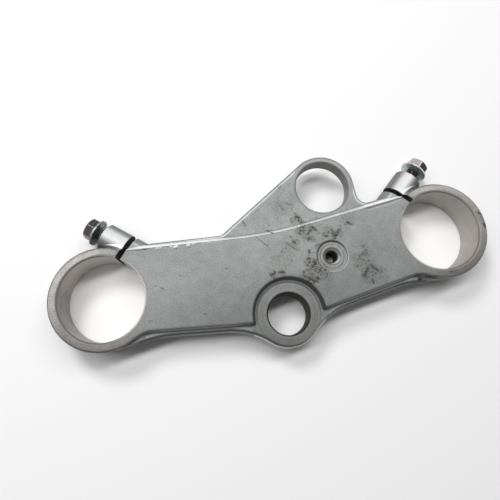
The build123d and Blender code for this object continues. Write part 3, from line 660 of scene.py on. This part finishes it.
# Painted shade on the flats that face backwards.
back = add(tree, "MapRange", {0: forward, 1: 0.1, 2: -0.1})[0]
back_shade = add(tree, "Mix", {0: right, 6: linear("#464341"), 7: linear("#343535")}, data_type="RGBA")[2]
steel = add(tree, "Mix", {0: back, 6: steel, 7: back_shade}, data_type="RGBA")[2]
rounded = add(tree, "Bevel", {"Radius": 0.6 * MM}, samples=8)[0]
flat_normal = add(tree, "NewGeometry")["Normal"]
agree = add(tree, "VectorMath", {0: rounded, 1: flat_normal}, operation="DOT_PRODUCT")["Value"]
# Painted glints on the corners between the flats.
corner = add(tree, "MapRange", {0: agree, 1: 0.99, 2: 0.95})[0]
corner = add(tree, "Math", {0: corner, 1: spots}, operation="MULTIPLY")[0]
steel = add(tree, "Mix", {0: corner, 6: steel, 7: linear("#eeeeed")}, data_type="RGBA")[2]
skin = {"Base Color": steel, "Roughness": 0.3, "Metallic": 0.9, "Normal": rounded}
skin = add(tree, "BsdfPrincipled", skin)
add(tree, "OutputMaterial", {"Surface": skin[0]})
print("hexagons:", len(tree.nodes), "nodes")

# %% [markdown]
# The thread is plated as the flange is, but it is painted dark, as painted shade between the flange and the
# boss, with a few spots where the zinc shows.

# %% Bolt steel: thread
shaded_thread, tree = new_material("zinc_plated_thread_painted_shade")
place = add(tree, "TexCoord")
mm = add(tree, "VectorMath", {0: place["Object"], "Scale": 1 / MM}, operation="SCALE")[0]
spots = add(tree, "TexNoise", {"Vector": mm, "Scale": 1 / 1.2, "Detail": 2.0})[0]
spots = add(tree, "MapRange", {0: spots, 1: 0.45, 2: 0.65})[0]
# Painted shade: the thread is painted dark, with spots of zinc.
steel = add(tree, "Mix", {0: spots, 6: linear("#2b3030"), 7: linear("#8f9694")}, data_type="RGBA")[2]
skin = add(tree, "BsdfPrincipled", {"Base Color": steel, "Roughness": 0.35, "Metallic": 0.8})
add(tree, "OutputMaterial", {"Surface": skin[0]})
print("thread:", len(tree.nodes), "nodes")

# %% [markdown]
# Each pinch bolt is an M8 flange bolt, backed off its seat. The head is forged: a hexagon, with a cone that
# cuts its crown, on a flange with a rounded rim. The thread is rolled, 1.25 mm from crest to crest. Spin
# makes both round shapes. A plain spin turns the flange, and a spin with a small push along the axis at every
# step winds the thread. The bolt is built standing on its tip and then laid where CAD has it.

# %% Bolt thread
AXIS = Vector((0, 0, 1))
pitch = 1.25 * MM
crest = 4.0 * MM
root = 3.35 * MM


def wind_thread(bm, low, turns, steps=32):
    """Winds one groove and one crest round the axis, from a height low upwards."""
    outline = ((root, 0), (crest, 0.32), (crest, 0.46), (root, 0.78), (root, 1))  # radius, share of the pitch
    verts = [bm.verts.new((r, 0, low + share * pitch)) for r, share in outline]
    edges = [bm.edges.new(pair) for pair in zip(verts, verts[1:])]
    bmesh.ops.spin(
        bm, geom=verts + edges, cent=(0, 0, 0), axis=AXIS, dvec=AXIS * (pitch / steps),
        angle=2 * math.pi * turns, steps=steps * turns,
    )
    bmesh.ops.remove_doubles(bm, verts=bm.verts, dist=0.005 * MM)


print("thread pitch in mm:", round(pitch / MM, 2))

# %% Bolt head
flat_radius = 6.0 * MM
head_height = 7.4 * MM
crown_radius = 5.6 * MM
crown_slope = math.tan(math.radians(30))


def forge_head(bm, corner):
    """A hexagon with a coned crown, drawn out of a circle, with a corner at the given angle in degrees."""
    ring = bmesh.ops.create_circle(bm, segments=48, radius=flat_radius, cap_ends=False)["verts"]
    for vert in ring:
        turn = math.atan2(vert.co.y, vert.co.x) % (math.pi / 3) - math.pi / 6
        vert.co *= 1 / math.cos(turn)
    bmesh.ops.rotate(bm, verts=ring, cent=(0, 0, 0), matrix=Matrix.Rotation(math.radians(corner), 3, "Z"))
    edges = list({edge for vert in ring for edge in vert.link_edges})
    walls = bmesh.ops.extrude_edge_only(bm, edges=edges)["geom"]
    for vert in [item for item in walls if isinstance(item, bmesh.types.BMVert)]:
        vert.co.z = head_height - max(0, vert.co.xy.length - crown_radius) * crown_slope
    edges = [item for item in walls if isinstance(item, bmesh.types.BMEdge)]
    cone = bmesh.ops.extrude_edge_only(bm, edges=edges)["geom"]
    for vert in [item for item in cone if isinstance(item, bmesh.types.BMVert)]:
        vert.co = Vector((*(vert.co.xy.normalized() * crown_radius), head_height))
    bmesh.ops.contextual_create(bm, geom=[item for item in cone if isinstance(item, bmesh.types.BMEdge)])


print("across flats in mm:", round(2 * flat_radius / MM, 1))

# %% Bolt flange
section = (  # radius and height in mm
    (3.4, 0), (8.1, 0), (8.4, 0.12), (8.5, 0.4), (8.5, 0.8),
    (8.35, 1.12), (8.0, 1.3), (6.4, 1.85), (5.2, 2.3),
)


def turn_flange(bm):
    """The flange, spun from its section: flat below, rounded at the rim, coned up to the hexagon."""
    verts = [bm.verts.new((r * MM, 0, h * MM)) for r, h in section]
    edges = [bm.edges.new(pair) for pair in zip(verts, verts[1:])]
    full = 2 * math.pi
    bmesh.ops.spin(bm, geom=verts + edges, cent=(0, 0, 0), axis=AXIS, angle=full, steps=64, use_merge=True)


print("across the flange in mm:", 2 * max(section)[0])

# %% Bolt: thread, head and flange together
shank = 35 * MM
turns = round(shank / pitch)
FLANGE, HEAD, THREAD = 0, 1, 2  # places in the bolt's list of materials


def shape_bolt(bm, corner):
    """The three shapes on one axis, each with its place in the list of materials."""
    wind_thread(bm, -shank, turns)
    for face in bm.faces:
        face.material_index = THREAD
    forge_head(bm, corner)
    for face in bm.faces:
        face.material_index = max(face.material_index, HEAD)
    thread_and_head = set(bm.faces)
    turn_flange(bm)
    for face in set(bm.faces) - thread_and_head:
        face.material_index = FLANGE
    bmesh.ops.recalc_face_normals(bm, faces=bm.faces)


print("turns of the thread:", turns)

# %% Bolts in their places
SEAT = 21.6  # mm from the middle of a boss to its seat


def make_bolt(name, side, slack, corner):
    """A bolt on the right (1) or left (-1), backed off by its slack in mm, with a corner at an angle."""
    bm = bmesh.new()
    shape_bolt(bm, corner)
    slit = Vector((-side * math.cos(PINCH), math.sin(PINCH), 0))
    bolt_line = Vector((side * math.sin(PINCH), math.cos(PINCH), 0))
    fork = Vector((side * axes["fork"][0], axes["fork"][1], BOSS_HEIGHT))
    seat = fork + slit * BOSS_REACH + bolt_line * (SEAT + slack)
    turn = Matrix((slit, bolt_line.cross(slit), bolt_line)).transposed()
    bm.transform(Matrix.Translation(seat * MM) @ turn.to_4x4())
    mesh = bpy.data.meshes.new(name)
    bm.to_mesh(mesh)
    bm.free()
    for finish in (zinc, rubbed, shaded_thread):
        mesh.materials.append(finish)
    mesh.set_sharp_from_angle(angle=math.radians(30))
    for face in mesh.polygons:
        face.use_smooth = True
    piece = bpy.data.objects.new(name, mesh)
    bpy.context.scene.collection.objects.link(piece)
    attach(piece, "root")
    print(name, len(mesh.polygons), "faces")
    return piece


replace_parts(make_bolt("flange_bolt_left", -1, 4.8, 99), "pinch_bolt_left")
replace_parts(make_bolt("flange_bolt_right", 1, 7.0, 93), "pinch_bolt_right")

# %% [markdown]
# A white laminate table carries the yoke. Near the yoke it shows the light and the shadows as they fall.
# Further off, from 0.35 m to 0.9 m away, it starts to glow for the rays that the camera, a reflection or a
# glass sends, so the background is white to the eye without any more light on the yoke.

# %% Table
TABLE_GAP = 0.05 * MM
bm = bmesh.new()
bmesh.ops.create_grid(bm, x_segments=1, y_segments=1, size=8.0)
bmesh.ops.translate(bm, verts=bm.verts, vec=(0, 0, cad_box[0].z - TABLE_GAP))
table = bpy.data.objects.new("white_table", bpy.data.meshes.new("white_table"))
bm.to_mesh(table.data)
bm.free()
bpy.context.scene.collection.objects.link(table)


def seen_rays(tree):
    """1 for a ray that the camera, a reflection or a glass sends, and 0 for one that only carries light."""
    path = add(tree, "LightPath")
    seen = add(tree, "Math", {0: path["Is Camera Ray"], 1: path["Is Glossy Ray"]}, operation="MAXIMUM")[0]
    return add(tree, "Math", {0: seen, 1: path["Is Transmission Ray"]}, operation="MAXIMUM")[0]


laminate, tree = new_material("white_laminate")
far = add(tree, "VectorMath", {0: add(tree, "TexCoord")["Object"]}, operation="LENGTH")["Value"]
glow = add(tree, "MapRange", {0: far, 1: 0.35, 2: 0.9})[0]
glow = add(tree, "Math", {0: glow, 1: seen_rays(tree)}, operation="MULTIPLY")[0]
white = {"Base Color": linear("#f8f7f7"), "Roughness": 0.7}
skin = add(tree, "BsdfPrincipled", {**white, "Emission Color": (1, 1, 1, 1), "Emission Strength": glow})
add(tree, "OutputMaterial", {"Surface": skin[0]})
table.data.materials.append(laminate)
print("table at z", round((cad_box[0].z - TABLE_GAP) / MM, 2), "mm")

# %% [markdown]
# The light is that of a plain studio. A long window overhead, a little ahead of the yoke, gives the broad
# light. A softbox lower down, ahead and to the left, leaves the rear walls in shade and makes the shadows. It
# stays out of reflections, so that no round spot shows on the metal. A pale room fills the rest: it is white
# to the eye and to the metal, and gives little light of its own.

# %% Light
def hang(light, spot):
    """Hangs a lamp at a spot in metres and turns it to the origin."""
    lamp = bpy.data.objects.new(light.name, light)
    lamp.location = spot
    lamp.rotation_euler = lamp.location.to_track_quat("Z", "Y").to_euler()
    bpy.context.scene.collection.objects.link(lamp)
    return lamp


window = bpy.data.lights.new("window", "AREA")
window.shape = "RECTANGLE"
window.size, window.size_y = 2.5, 0.2
window.energy = 14.0
hang(window, Vector((-0.044, 0.314, 0.948)) * 1.25)

softbox = bpy.data.lights.new("softbox", "AREA")
softbox.shape = "DISK"
softbox.size = 0.35
softbox.energy = 6.2
hang(softbox, Vector((-0.25, 0.62, 0.74)) * 1.2).visible_glossy = False

room = bpy.data.worlds.new("pale_room")
room.use_nodes = True
room.node_tree.nodes.clear()
tree = room.node_tree
level = add(tree, "MapRange", {0: seen_rays(tree), 3: 0.1, 4: 1.0})[0]
sky = add(tree, "Background", {"Color": (1, 1, 1, 1), "Strength": level})
add(tree, "OutputWorld", {"Surface": sky[0]})
bpy.context.scene.world = room
print("lamps:", window.name, "and", softbox.name)

# %% [markdown]
# The camera stands where the photographer held it, nearly straight above the yoke. Its lens, place and turn
# come from fitting the rims of the two fork bores, whose places on the yoke are known.

# %% Camera
lens = bpy.data.cameras.new("photo_camera")
lens.sensor_width = 36.0
lens.lens = 30.24
lens.clip_start = 0.01
eye = bpy.data.objects.new("photo_camera", lens)
eye.location = (-0.041487, -0.010460, 0.264812)
eye.rotation_euler = Euler([math.radians(a) for a in (12.9617, -3.4101, -12.3194)])
bpy.context.scene.collection.objects.link(eye)
bpy.context.scene.camera = eye
bpy.context.scene.view_settings.view_transform = "Standard"
print("camera height in mm:", round(eye.location.z / MM, 1))
